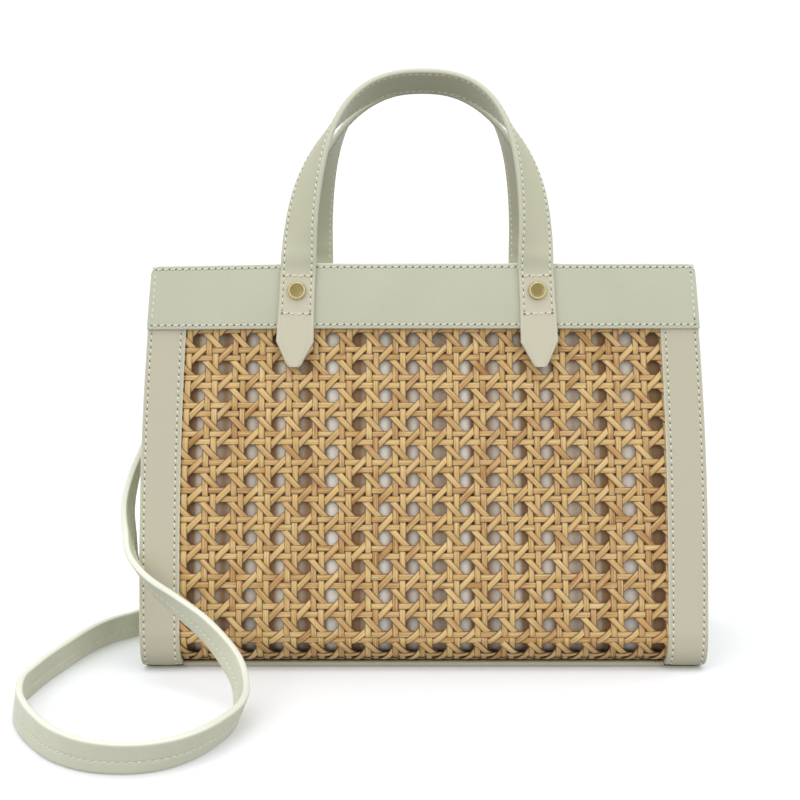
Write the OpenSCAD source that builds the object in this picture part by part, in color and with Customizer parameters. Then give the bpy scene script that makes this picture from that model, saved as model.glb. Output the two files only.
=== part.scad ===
// Tote bag of cane webbing and leather, with two handles and a shoulder strap.
// Millimetres. Z is up, the front faces -Y, the origin is the middle of the base on the floor.

/* [Body] */
// Width across the front, over the gussets
body_w = 265; // [245:1:285]
// Height of the body to its top edge, without the handles
body_h = 191; // [175:1:210]
// Depth at the base, over the cane
base_d = 110; // [100:1:120]
// Depth at the top edge, over the cane
top_d = 66; // [60:1:74]
// Outer radius of the turn where the cane runs under the body
bend_r = 14; // [12:0.5:17]

/* [Leather] */
// Thickness of the trims and gussets
leather_t = 1.6; // [1.2:0.1:2]
// Thickness of the top band where it lies over the trims
band_t = 1.8; // [1.4:0.1:2.2]
// Height of the top band
band_h = 31.5; // [28:0.5:36]
// Radius of the top band's upper corners
band_corner = 4; // [2:0.5:6]
// Width of the trim strips
trim_w = 18.5; // [16:0.5:24]
// Thickness of the base panel
base_t = 2.5; // [2.2:0.1:3.2]
// Reach of the base panel past the line where the cane meets it
base_lip = 8; // [2:0.5:9]
// Thickness of the facing inside the top edge
facing_t = 1.2; // [0.8:0.1:1.6]

/* [Cane] */
// Thickness of the cane wall
cane_t = 1.8; // [1.5:0.1:2.2]
// Step from hole to hole across the panel
mesh_x = 12.8; // [12:0.1:15]
// Step from hole to hole up the panel
mesh_y = 13.4; // [12.4:0.1:15]
// Distance from the band's lower edge to the middle of the first row of holes
mesh_top = 5; // [4.5:0.5:8]
// Width of one cane strand
strand_w = 2.6; // [2.3:0.05:2.7]
// Groove between the two strands of a pair
strand_gap = 0.9; // [0.7:0.05:1.1]
// Depth of that groove
groove_depth = 0.5; // [0.3:0.05:0.7]
// Width of the slanting strands that cut the corners of the holes
slant_w = 2.2; // [1.8:0.1:2.4]
// Depth of a hole that stays closed
pocket_depth = 1; // [0.8:0.1:1.1]

/* [Lining] */
// Thickness of the lining cloth
lining_t = 0.8; // [0.6:0.1:1.2]
// Overlap of the lining behind the facing
lining_overlap = 4; // [2:0.5:5]

/* [Handles] */
// Width of the handle strap
handle_w = 17; // [15:0.5:20]
// Width of a tab at its shoulders
tab_w = 18; // [16:0.5:21]
// Thickness of the handle strap
handle_t = 3; // [2.4:0.1:3.6]
// Distance between the middles of a handle's two legs
handle_span = 115; // [100:0.5:124]
// Rise of the handle above the top edge
handle_rise = 91.5; // [80:0.5:110]
// Length of the tab below the top edge
tab_l = 50; // [46:0.5:56]
// Length of the pointed end of the tab
tip_l = 12; // [8:0.5:14]
// Width of the blunt end of the tab
tip_w = 6; // [4:0.5:8]
// Tilt of the strap across its width at the top of the handle
handle_tilt = 32; // [10:1:34]
// Lean of the tabs away from the middle, down from their studs
tab_splay = 2; // [0:0.5:4]
// Shift of the front handle's tabs from the middle, as they were sewn
handle_shift = -3; // [-4:0.5:4]
// How much closer to the middle the back handle's tabs were sewn
back_pinch = 1.5; // [0:0.5:3]
// Space left between the two handles at the top
handle_space = 1.6; // [1:0.1:4]

/* [Studs] */
// Diameter of a stud's head
stud_d = 8.6; // [7:0.1:10]
// Height of a stud's head
stud_h = 2.4; // [1.8:0.1:3]
// Diameter of a stud's post
post_d = 3; // [2.4:0.1:3.6]
// Distance of a handle stud below the top edge
stud_drop = 13.6; // [11:0.2:18]
// Distance of a strap stud below the top edge
strap_stud_drop = 25; // [23:1:40]
// Diameter of the cap inside
cap_d = 8; // [6.5:0.1:9]
// Thickness of the cap inside
cap_t = 1; // [0.8:0.1:1.2]

/* [Shoulder strap] */
// Width of the shoulder strap
strap_w = 13; // [11:0.5:14.5]
// Thickness of the shoulder strap
strap_t = 3; // [2.4:0.1:4]

/* [Hidden] */
$fn = 48;
// Clearance between pieces that lie against each other
seam_gap = 0.1;
// Clearance of a post in its hole
post_gap = 0.1;
// Clearance of the lining inside the facing and on the board
lining_gap = 0.2;
// Space beside the outer columns of holes
mesh_margin = 0.3;
// The axis of the turn at the base, in front of the middle and above the floor
turn_y = base_d / 2 - bend_r;
turn_z = base_t + bend_r;
turn_in = turn_y - top_d / 2;
turn_up = body_h - turn_z;
// Lean of the front and back, and their length from the turn to the top edge
lean = atan2(turn_in, turn_up) + asin(bend_r / norm([turn_in, turn_up]));
panel_l = sqrt(turn_in * turn_in + turn_up * turn_up - bend_r * bend_r);
cane_w = body_w - 2 * leather_t - 2 * seam_gap;
window_w = body_w - 2 * trim_w;
window_l = panel_l - band_h;
hole_w = mesh_x - 2 * strand_w - strand_gap;
hole_h = mesh_y - 2 * strand_w - strand_gap;
// Corner cut off a hole by the slanting strands
slant_angle = atan2(mesh_y, mesh_x);
hole_cut = (hole_w + hole_h) / 2 - sqrt(2) * (mesh_x * sin(slant_angle) - slant_w) / 2;
cols = floor((window_w - hole_w - 2 * mesh_margin) / mesh_x) + 1;
rows = floor((window_l - mesh_top + 1.1 * bend_r) / mesh_y) + 1;
board_t = cane_t + facing_t;
lining_in = cane_t + facing_t + lining_gap;
lining_w = body_w - 2 * (leather_t + cap_t + 2 * lining_gap);
lining_z = body_h - band_h + lining_overlap;
// Layers outward from the face of the cane
tab_n = leather_t + band_t + seam_gap;
head_n = tab_n + handle_t + seam_gap;
side_x = body_w / 2 + seam_gap;
strap_x = side_x + strap_t / 2 + seam_gap;
strap_stud_z = body_h - strap_stud_drop;
// Places of the studs across the front and across the back
front_legs = [handle_shift - handle_span / 2, handle_shift + handle_span / 2];
back_legs = [back_pinch - handle_span / 2, handle_span / 2 - back_pinch];
// Steps of the handle's arch on each side, and the power of its curve
arch_steps = 15;
arch_power = 2 / 2.35;
// Turn of the strap just above the top edge, and the share of the rise where it stands edge on
turn_start = 16;
turn_share = 0.95;
// Height of the strap's middle where it lies on its edge
strap_lie = strap_w / 2 + 0.5;
// Middle of the shoulder strap: X, Y, Z, the way its upper edge faces, front 0, up 90, back 180,
// and how far that edge leans out of the loop
strap_route = [
    [-strap_x, 0, strap_stud_z + 10, 0, 0], [-strap_x, 0, strap_stud_z - 10, 0, 0],
    [-135, -2, 130, 0, 0], [-137, -9, 106, 0, 0], [-142, -20, 88, 2, -4], [-143, -32, 74, 8, -6],
    [-140, -44, 62, 14, -6], [-136, -56, 53, 22, -4], [-127, -67, 45, 36, 0], [-112, -73, 35, 56, 0],
    [-97, -85, 27, 66, 4], [-83, -101, 16, 78, 12], [-78, -119, 9, 87, 20], [-78, -137, strap_lie, 90, 22],
    [-83, -156, strap_lie, 90, 22], [-91, -172, strap_lie, 90, 22], [-102, -182, strap_lie, 90, 21],
    [-116, -185, strap_lie, 90, 19], [-131, -181, strap_lie, 90, 13], [-145, -170, strap_lie, 90, 5],
    [-156, -155, strap_lie, 90, 0], [-164, -141, strap_lie, 90, -3], [-171, -124, strap_lie, 90, -5],
    [-175, -104, strap_lie, 90, -7], [-174, -87, strap_lie, 90, -8], [-172, -70, strap_lie, 90, -8],
    [-168, -48, strap_lie, 90, -8], [-163, -25, strap_lie, 90, -8], [-156, -8, strap_lie, 90, -7],
    [-147, 4, strap_lie, 90, -5], [-141, 16, strap_lie, 90, -2], [-139, 40, strap_lie, 90, 0],
    [-132, 64, strap_lie, 90, 0], [-108, 72, strap_lie, 90, 0], [-60, 73, strap_lie, 90, 0],
    [0, 74, strap_lie, 90, 0], [60, 74, strap_lie, 90, 0], [106, 72, strap_lie + 1, 90, 0],
    [132, 64, 15, 92, 0], [142, 46, 30, 104, 0], [144, 30, 56, 130, 0], [142, 16, 86, 156, 0],
    [139, 6, 114, 172, 0], [136, 1, 140, 180, 0], [strap_x, 0, strap_stud_z - 10, 180, 0],
    [strap_x, 0, strap_stud_z + 10, 180, 0]
];
strap_steps = 2;

leather = [0.75, 0.76, 0.67];
leather_dark = [0.62, 0.63, 0.55];
cane_colour = [0.8, 0.65, 0.4];
brass = [0.72, 0.6, 0.32];
cloth = [0.66, 0.6, 0.55];
board = [0.5, 0.48, 0.45];

// Frames: shapes are drawn for the front, and the back is their mirror

module at_back() {
    mirror([0, 1, 0]) children();
}

// Extrudes a section drawn as distance to the front and height
module along_x(width) {
    rotate([90, 0, -90]) linear_extrude(width, center = true) children();
}

// The leaning front: X across, Y up the panel from the turn, Z outward from the turn's axis
module on_front() {
    translate([0, -turn_y, turn_z]) rotate([90 - lean, 0, 0]) children();
}

module mirrored_x() {
    children();
    mirror([1, 0, 0]) children();
}

// The stud places of the two tabs in front, outward from the cane's face by n
module at_tabs(legs, n) {
    on_front() for (x = legs) translate([x, panel_l - stud_drop, bend_r + n]) children();
}

// Section of a layer of the front wall from n0 to n1 outside the cane's face, with its turn at the base
module wall(n0, n1) {
    reach = 4 * bend_r;
    translate([turn_y, turn_z]) rotate(lean) {
        translate([bend_r + n0, 0]) square([n1 - n0, panel_l]);
        intersection() {
            difference() {
                circle(bend_r + n1);
                circle(bend_r + n0);
            }
            polygon([[0, 0], [reach, 0], [reach, -reach], [-reach * sin(lean), -reach * cos(lean)]]);
        }
    }
}

// Outline of the body from the side, n outside the cane's face
module section(n) {
    r = bend_r + n;
    side = [turn_y + r * cos(lean), turn_z + r * sin(lean)];
    top = side + panel_l * [-sin(lean), cos(lean)];
    polygon([
        side, top, [-top[0], top[1]], [-side[0], side[1]],
        [-turn_y, turn_z - r], [turn_y, turn_z - r]
    ]);
    for (s = [-1, 1]) translate([s * turn_y, turn_z]) circle(r);
}

// Cane

function col_x(i) = (i - (cols - 1) / 2) * mesh_x;
function row_v(j) = window_l - mesh_top - j * mesh_y;

// A place on the cane's face; rows below the panel go round the turn
module on_cane(x, v) {
    on_front() rotate([v < 0 ? -v / bend_r * 180 / PI : 0, 0, 0])
        translate([x, max(v, 0), bend_r]) children();
}

module hole(depth) {
    a = hole_w / 2;
    b = hole_h / 2;
    c = hole_cut;
    translate([0, 0, -depth]) linear_extrude(depth + 2)
        polygon([
            [a, b - c], [a - c, b], [c - a, b], [-a, b - c],
            [-a, c - b], [c - a, -b], [a - c, -b], [a, c - b]
        ]);
}

// Every second hole goes through, the others are pockets
module holes() {
    for (i = [0 : cols - 1], j = [0 : rows - 1])
        on_cane(col_x(i), row_v(j)) hole((i + j) % 2 == 0 ? cane_t + 2 : pocket_depth);
}

module grooves() {
    for (i = [0 : cols - 2])
        translate([col_x(i + 0.5), 0, 0]) along_x(strand_gap) wall(-groove_depth, 1);
    for (j = [0 : rows - 2])
        if (row_v(j + 0.5) > 0) on_cane(0, row_v(j + 0.5))
            translate([-window_w / 2, -strand_gap / 2, -groove_depth]) cube([window_w, strand_gap, 2]);
}

module cane(legs) {
    color(cane_colour) difference() {
        along_x(cane_w) wall(-cane_t, 0);
        grooves();
        holes();
        stud_bores(legs);
    }
}

// Leather

module stud_bores(legs) {
    at_tabs(legs, -bend_r) cylinder(d = post_d + 2 * post_gap, h = 3 * bend_r);
}

module trim() {
    color(leather) translate([body_w / 2 - trim_w / 2, 0, 0]) along_x(trim_w) wall(0, leather_t);
}

module rounded_top(w, h, r) {
    translate([-w / 2, 0]) square([w, h - r]);
    translate([r - w / 2, 0]) square([w - 2 * r, h]);
    for (s = [-1, 1]) translate([s * (w / 2 - r), h - r]) circle(r);
}

// Outer layer over the trims, and the layer between them
module band(legs) {
    inner_w = window_w - 2 * seam_gap;
    color(leather) difference() {
        on_front() translate([0, window_l, bend_r]) {
            translate([0, 0, leather_t]) linear_extrude(band_t) rounded_top(body_w, band_h, band_corner);
            translate([-inner_w / 2, 0, 0]) cube([inner_w, band_h, leather_t + band_t / 2]);
        }
        stud_bores(legs);
    }
}

module facing(legs) {
    color(leather_dark) difference() {
        on_front() translate([-cane_w / 2, window_l, bend_r - board_t]) cube([cane_w, band_h, facing_t]);
        stud_bores(legs);
    }
}

module gusset() {
    color(leather) difference() {
        translate([body_w / 2 - leather_t / 2, 0, 0]) along_x(leather_t) section(-seam_gap);
        translate([body_w / 2, 0, strap_stud_z]) rotate([0, 90, 0])
            cylinder(d = post_d + 2 * post_gap, h = 20, center = true);
    }
}

module base_panel() {
    mid_x = window_w / 2 - seam_gap;
    mid_y = turn_y + base_lip;
    end_x = body_w / 2;
    end_y = turn_y - 3 * seam_gap;
    color(leather) linear_extrude(base_t) {
        translate([-mid_x, -mid_y]) square([2 * mid_x, 2 * mid_y]);
        translate([-end_x, -end_y]) square([2 * end_x, 2 * end_y]);
    }
}

// Inside

module base_board() {
    x = cane_w / 2 - seam_gap;
    y = turn_y - 4 * seam_gap;
    color(board) translate([-x, -y, base_t]) cube([2 * x, 2 * y, board_t]);
}

module lining() {
    color(cloth) intersection() {
        difference() {
            along_x(lining_w) section(-lining_in);
            along_x(lining_w - 2 * lining_t) section(-lining_in - lining_t);
        }
        translate([-body_w, -base_d, 0]) cube([2 * body_w, 2 * base_d, lining_z]);
    }
}

// Handles

function unit(v) = v / norm(v);
function clamp(x) = min(1, max(0, x));
// World position of a point on the front at x, v up the panel and n outside the cane's face
function front_point(x, v, n) = [
    x,
    -turn_y - (bend_r + n) * cos(lean) + v * sin(lean),
    turn_z + (bend_r + n) * sin(lean) + v * cos(lean)
];

tab_v = [panel_l - tab_l, panel_l - tab_l + tip_l, panel_l - stud_drop - 6, panel_l - stud_drop + 6];
leg_foot = front_point(0, panel_l, tab_n + handle_t / 2);
arch_y = -handle_w / 2 * cos(handle_tilt) - handle_space / 2 - handle_t / 2 * sin(handle_tilt);
arch_bow = arch_y - leg_foot[1] - handle_rise * tan(lean);

// Middle of the strap on one side, up the tab from its tip and on to the top of the arch; a handle
// sewn off the middle comes back to it on the way up
function tab_point(v, side, legs) =
    let (splay = (panel_l - stud_drop - v) * tan(tab_splay))
    front_point(legs[side < 0 ? 0 : 1] + side * splay, v, tab_n + handle_t / 2);
function arch_point(a, side, legs) =
    let (
        up = pow(sin(a), arch_power),
        reach = (legs[1] - legs[0]) / 2 - stud_drop * tan(tab_splay),
        middle = (legs[0] + legs[1]) / 2
    )
    [
        side * reach * pow(max(cos(a), 0), arch_power) + middle * (1 - up),
        leg_foot[1] + handle_rise * up * tan(lean) + arch_bow * up * up,
        leg_foot[2] + handle_rise * up
    ];
function handle_half(side, legs) = concat(
    [for (v = tab_v) tab_point(v, side, legs)],
    [for (i = [0 : arch_steps]) arch_point(90 * i / arch_steps, side, legs)]
);
half_n = len(tab_v) + arch_steps + 1;
function handle_path(legs) =
    let (right = handle_half(1, legs))
    concat(handle_half(-1, legs), [for (i = [half_n - 2 : -1 : 0]) right[i]]);
function handle_width(i) =
    let (from_end = min(i, 2 * half_n - 2 - i))
    from_end == 0 ? tip_w : from_end == 1 ? tab_w : handle_w;

// Direction across the strap, from its inner to its outer edge
function across(p, side, t) =
    let (
        up = clamp((p[2] - leg_foot[2]) / (turn_share * handle_rise)),
        a = up > 0.001 ? turn_start + (90 - turn_start) * up : 0,
        w = [side * cos(a), sin(a) * cos(handle_tilt), -sin(a) * sin(handle_tilt)]
    )
    unit(w - (w * t) * t);

function tangent(path, i) =
    unit(path[min(i + 1, len(path) - 1)] - path[max(i - 1, 0)]);

// Ring of 8 points of a flat strap with its edges taken off
function ring(p, w, n, width, thick) =
    let (a = width / 2, b = thick / 2, c = thick / 4)
    [
        for (q = [[a, c - b], [a, b - c], [a - c, b], [c - a, b],
                  [-a, b - c], [-a, c - b], [c - a, -b], [a - c, -b]])
            p + q[0] * w + q[1] * n
    ];

// Closed sweep through rings of 8 points
module sweep(rings) {
    m = len(rings);
    points = [for (r = rings) for (q = r) q];
    sides = [
        for (i = [0 : m - 2], k = [0 : 7])
            for (f = [[8 * i + k, 8 * i + (k + 1) % 8, 8 * i + 8 + (k + 1) % 8],
                      [8 * i + k, 8 * i + 8 + (k + 1) % 8, 8 * i + 8 + k]]) f
    ];
    ends = [[for (k = [7 : -1 : 0]) k], [for (k = [0 : 7]) 8 * (m - 1) + k]];
    polyhedron(points, concat(sides, ends), convexity = 6);
}

module handle(legs) {
    path = handle_path(legs);
    rings = [
        for (i = [0 : len(path) - 1])
            let (
                p = path[i],
                t = tangent(path, i),
                w = across(p, i < half_n ? -1 : 1, t)
            )
            ring(p, w, cross(t, w), handle_width(i), handle_t)
    ];
    color(leather) difference() {
        sweep(rings);
        stud_bores(legs);
    }
}

// Studs

// Head on z = 0 with the post going down
module stud(post_l) {
    r = stud_d / 2;
    color(brass) {
        rotate_extrude()
            polygon([[0, 0], [r, 0], [r, 0.45 * stud_h], [0.82 * r, 0.92 * stud_h], [0, stud_h]]);
        translate([0, 0, -post_l]) cylinder(d = post_d, h = post_l + 0.1);
    }
}

module cap() {
    color(brass) difference() {
        cylinder(d = cap_d, h = cap_t);
        translate([0, 0, -1]) cylinder(d = post_d + 2 * post_gap, h = cap_t + 2);
    }
}

// The stud places of all four tabs, outward from the cane's face by n
module at_all_tabs(n) {
    at_tabs(front_legs, n) children();
    at_back() at_tabs(back_legs, n) children();
}

module at_gussets(x) {
    mirrored_x() translate([x, 0, strap_stud_z]) rotate([0, 90, 0]) children();
}

module handle_studs() {
    at_all_tabs(head_n) stud(head_n + board_t + cap_t);
}

module handle_caps() {
    at_all_tabs(-board_t - cap_t - seam_gap) cap();
}

module strap_studs() {
    at_gussets(side_x + strap_t + 2 * seam_gap) stud(strap_t + leather_t + cap_t);
}

module strap_caps() {
    at_gussets(body_w / 2 - leather_t - cap_t - seam_gap) cap();
}

// Shoulder strap

function spline(a, b, c, d, t) =
    0.5 * (2 * b + (c - a) * t + (2 * a - 5 * b + 4 * c - d) * t * t + (3 * b - a - 3 * c + d) * t * t * t);
route_n = len(strap_route);
function route_at(i) = strap_route[min(max(i, 0), route_n - 1)];
strap_path = concat(
    [
        for (i = [0 : route_n - 2], k = [0 : strap_steps - 1])
            spline(route_at(i - 1), route_at(i), route_at(i + 1), route_at(i + 2), k / strap_steps)
    ],
    [route_at(route_n - 1)]
);
strap_middle = [for (q = strap_path) [q[0], q[1], q[2]]];

module shoulder_strap() {
    rings = [
        for (i = [0 : len(strap_path) - 1])
            let (
                t = tangent(strap_middle, i),
                a = strap_path[i][3],
                out = strap_path[i][4],
                e = [0, -cos(a), sin(a)],
                u = unit(e - (e * t) * t),
                w = u * cos(out) - cross(t, u) * sin(out)
            )
            ring(strap_middle[i], w, cross(t, w), strap_w, strap_t)
    ];
    color(leather) difference() {
        sweep(rings);
        at_gussets(0) cylinder(d = post_d + 2 * post_gap, h = body_w);
    }
}

cane(front_legs);  // cane_front
at_back() cane(back_legs);  // cane_back
mirror([1, 0, 0]) trim();  // trim_front_left
trim();  // trim_front_right
at_back() mirror([1, 0, 0]) trim();  // trim_back_left
at_back() trim();  // trim_back_right
band(front_legs);  // band_front
at_back() band(back_legs);  // band_back
facing(front_legs);  // facing_front
at_back() facing(back_legs);  // facing_back
mirror([1, 0, 0]) gusset();  // gusset_left
gusset();  // gusset_right
base_panel();
base_board();
lining();
handle(front_legs);  // handle_front
at_back() handle(back_legs);  // handle_back
handle_studs();
handle_caps();
strap_studs();
strap_caps();
shoulder_strap();
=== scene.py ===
"""Cane tote bag with leather handles and a shoulder strap, dressed over its solids and set on a studio floor.

Metres, in the frame of the solids: Z is up, the front faces -Y,
and the origin is the middle of the base on the floor.
"""

import math

import bmesh
import bpy
import numpy as np
from bpy.props import FloatProperty, FloatVectorProperty, IntProperty, PointerProperty
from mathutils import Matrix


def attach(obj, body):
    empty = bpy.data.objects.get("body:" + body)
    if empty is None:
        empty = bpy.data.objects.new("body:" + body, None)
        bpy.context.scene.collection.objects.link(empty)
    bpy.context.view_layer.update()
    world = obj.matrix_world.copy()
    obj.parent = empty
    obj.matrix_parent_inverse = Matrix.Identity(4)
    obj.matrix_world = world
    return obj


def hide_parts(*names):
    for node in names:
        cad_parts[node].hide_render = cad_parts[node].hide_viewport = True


bl_info = {
    "name": "Cane tote bag",
    "version": (1, 0, 0),
    "blender": (4, 5, 0),
    "location": "View3D > Sidebar > Tote",
    "description": "Weaves, sews and stages a cane and leather tote bag",
    "category": "Object",
}

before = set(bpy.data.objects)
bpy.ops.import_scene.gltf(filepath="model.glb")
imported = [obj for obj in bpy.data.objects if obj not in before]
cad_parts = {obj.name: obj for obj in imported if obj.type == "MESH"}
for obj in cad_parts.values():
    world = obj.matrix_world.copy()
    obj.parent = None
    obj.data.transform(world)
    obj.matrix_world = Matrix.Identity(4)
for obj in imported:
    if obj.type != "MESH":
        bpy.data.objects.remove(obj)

# How far a row of thread stands out of its groove, so that the needle holes show
THREAD_LIFT = 0.00012

# Middle of the shoulder strap, as in the part's source: X, Y, Z in millimetres, the way its upper edge faces
# (front 0, up 90, back 180) and how far that edge leans out of the loop, in degrees
STRAP_ROUTE = [
    (-134.2, 0, 176, 0, 0), (-134.2, 0, 156, 0, 0),
    (-135, -2, 130, 0, 0), (-137, -9, 106, 0, 0), (-142, -20, 88, 2, -4), (-143, -32, 74, 8, -6),
    (-140, -44, 62, 14, -6), (-136, -56, 53, 22, -4), (-127, -67, 45, 36, 0), (-112, -73, 35, 56, 0),
    (-97, -85, 27, 66, 4), (-83, -101, 16, 78, 12), (-78, -119, 9, 87, 20), (-78, -137, 7, 90, 22),
    (-83, -156, 7, 90, 22), (-91, -172, 7, 90, 22), (-102, -182, 7, 90, 21),
    (-116, -185, 7, 90, 19), (-131, -181, 7, 90, 13), (-145, -170, 7, 90, 5),
    (-156, -155, 7, 90, 0), (-164, -141, 7, 90, -3), (-171, -124, 7, 90, -5),
    (-175, -104, 7, 90, -7), (-174, -87, 7, 90, -8), (-172, -70, 7, 90, -8),
    (-168, -48, 7, 90, -8), (-163, -25, 7, 90, -8), (-156, -8, 7, 90, -7),
    (-147, 4, 7, 90, -5), (-141, 16, 7, 90, -2), (-139, 40, 7, 90, 0),
    (-132, 64, 7, 90, 0), (-108, 72, 7, 90, 0), (-60, 73, 7, 90, 0),
    (0, 74, 7, 90, 0), (60, 74, 7, 90, 0), (106, 72, 8, 90, 0),
    (132, 64, 15, 92, 0), (142, 46, 30, 104, 0), (144, 30, 56, 130, 0), (142, 16, 86, 156, 0),
    (139, 6, 114, 172, 0), (136, 1, 140, 180, 0), (134.2, 0, 156, 180, 0),
    (134.2, 0, 176, 180, 0),
]


def linear(code):
    """An sRGB hex colour as linear red, green and blue."""
    values = [int(code[i : i + 2], 16) / 255 for i in (1, 3, 5)]
    return tuple(v / 12.92 if v <= 0.04045 else ((v + 0.055) / 1.055) ** 2.4 for v in values)


def size(name, about, metres):
    """A setting for a length."""
    return FloatProperty(name=name, description=about, default=metres, unit="LENGTH", precision=4)


def tint(name, about, code):
    """A setting for a colour."""
    return FloatVectorProperty(
        name=name, description=about, default=linear(code), subtype="COLOR", size=3, min=0, max=1
    )


class ToteBody(bpy.types.PropertyGroup):
    width: size("Width", "Width across the front, over the gussets", 0.265)
    height: size("Height", "Height of the body to its top edge", 0.191)
    base_depth: size("Depth at the base", "Depth at the base, over the cane", 0.110)
    top_depth: size("Depth at the top", "Depth at the top edge, over the cane", 0.066)
    bend: size("Turn at the base", "Outer radius of the turn where the cane runs under the body", 0.014)
    leather: size("Leather", "Thickness of the trims and gussets", 0.0016)
    band_thick: size("Band thickness", "Thickness of the top band over the trims", 0.0018)
    band_height: size("Band height", "Height of the top band", 0.0315)
    band_corner: size("Band corner", "Radius of the top band's upper corners", 0.004)
    trim: size("Trim width", "Width of the trim strips", 0.0185)
    base_thick: size("Base thickness", "Thickness of the base panel", 0.0025)
    base_lip: size("Base lip", "Reach of the base panel past the line where the cane meets it", 0.0065)
    facing: size("Facing", "Thickness of the facing inside the top edge", 0.0012)
    wall: size("Cane wall", "Thickness of the cane wall", 0.0018)
    bow: size("Bow of the sides", "How far the sides bow out half way up", 0.0021)
    swell: size("Swell of the panels", "How far the front and back swell between the seams", 0.0012)
    droop: size("Droop of the corner", "How far the top edge's left corner has dropped", 0.0013)
    sag: size("Sag of the gussets", "How far the gussets sag inward along their middle", 0.0042)


class ToteCane(bpy.types.PropertyGroup):
    mesh_x: size("Mesh across", "Step from hole to hole across the panel", 0.0128)
    mesh_y: size("Mesh up", "Step from hole to hole up the panel", 0.0134)
    mesh_top: size("First row", "From the band's lower edge to the first row of holes", 0.005)
    shift: size("Shift", "How far the weave sits to the right of the middle", 0.0012)
    strand: size("Strand width", "Width of an upright or level strand", 0.00305)
    slant: size("Slant width", "Width of a slanting strand", 0.003)
    thick: size("Strand thickness", "Thickness of a strand at its crown", 0.00088)
    pair_x: size("Upright pair", "Distance between the middles of two paired uprights", 0.00334)
    pair_y: size("Level pair", "Distance between the middles of two paired level strands", 0.0038)
    columns: IntProperty(name="Columns", description="Columns of holes", default=18, min=1)
    rows: IntProperty(name="Rows", description="Rows of holes", default=12, min=1)
    honey: tint("Cane", "Colour of most strands", "#D5B271")
    tan: tint("Darker cane", "Colour of the darker strands", "#A8763A")
    straw: tint("Paler cane", "Colour along the crown of pale strands", "#F3DEB2")
    # The strands' sides are painted this dark brown: painted shade where strands shadow each other
    gap: tint("Sides of the cane", "Colour down the sides of the strands", "#522C04")


class ToteStraps(bpy.types.PropertyGroup):
    width: size("Handle width", "Width of the handle strap", 0.017)
    tab_width: size("Tab width", "Width of a tab at its shoulders", 0.018)
    thick: size("Handle thickness", "Thickness of the handle strap", 0.003)
    span: size("Handle span", "Distance between the middles of a handle's legs", 0.115)
    rise: size("Handle rise", "Rise of the handle above the top edge", 0.0915)
    tab: size("Tab length", "Length of the tab below the top edge", 0.050)
    tip: size("Tip length", "Length of the pointed end of the tab", 0.012)
    tip_width: size("Tip width", "Width of the tab's blunt end", 0.006)
    tilt: FloatProperty(
        name="Handle tilt", description="Tilt of the strap across its width at the top",
        default=math.radians(32), subtype="ANGLE",
    )
    splay: FloatProperty(
        name="Tab splay", description="Lean of the tabs away from the middle, down from their studs",
        default=math.radians(2), subtype="ANGLE",
    )
    shift: size("Handle shift", "Shift of the front handle's tabs from the middle", -0.003)
    pinch: size("Back pinch", "How much closer to the middle the back handle's tabs were sewn", 0.0015)
    space: size("Handle space", "Space between the two handles at the top", 0.0016)
    stud: size("Stud", "Diameter of a stud's head", 0.0086)
    stud_height: size("Stud height", "Height of a stud's head", 0.0024)
    post: size("Post", "Diameter of a stud's post", 0.003)
    stud_drop: size("Stud drop", "Distance of a handle stud below the top edge", 0.0136)
    strap_stud: size("Strap stud height", "Height of a strap stud above the floor", 0.166)
    strap_width: size("Strap width", "Width of the shoulder strap", 0.013)
    strap_thick: size("Strap thickness", "Thickness of the shoulder strap", 0.003)


class ToteSewing(bpy.types.PropertyGroup):
    pitch: size("Stitch", "Distance from stitch to stitch", 0.0033)
    thread: size("Thread", "Thickness of the sewing thread", 0.00085)
    dip: size("Pull", "How far the thread pulls the leather in", 0.0002)
    inset: size("Inset", "Distance of a stitch row from its edge", 0.0022)
    thread_tint: tint("Thread", "Colour of the thread", "#D2D2BE")
    ply_tint: tint("Raised plies", "Colour of the thread on its raised plies", "#DFDFCD")
    # Needle holes are drawn as dark ovals in this colour: painted shade in the holes
    hole_tint: tint("Needle hole", "Colour in a needle hole", "#645F49")


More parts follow.
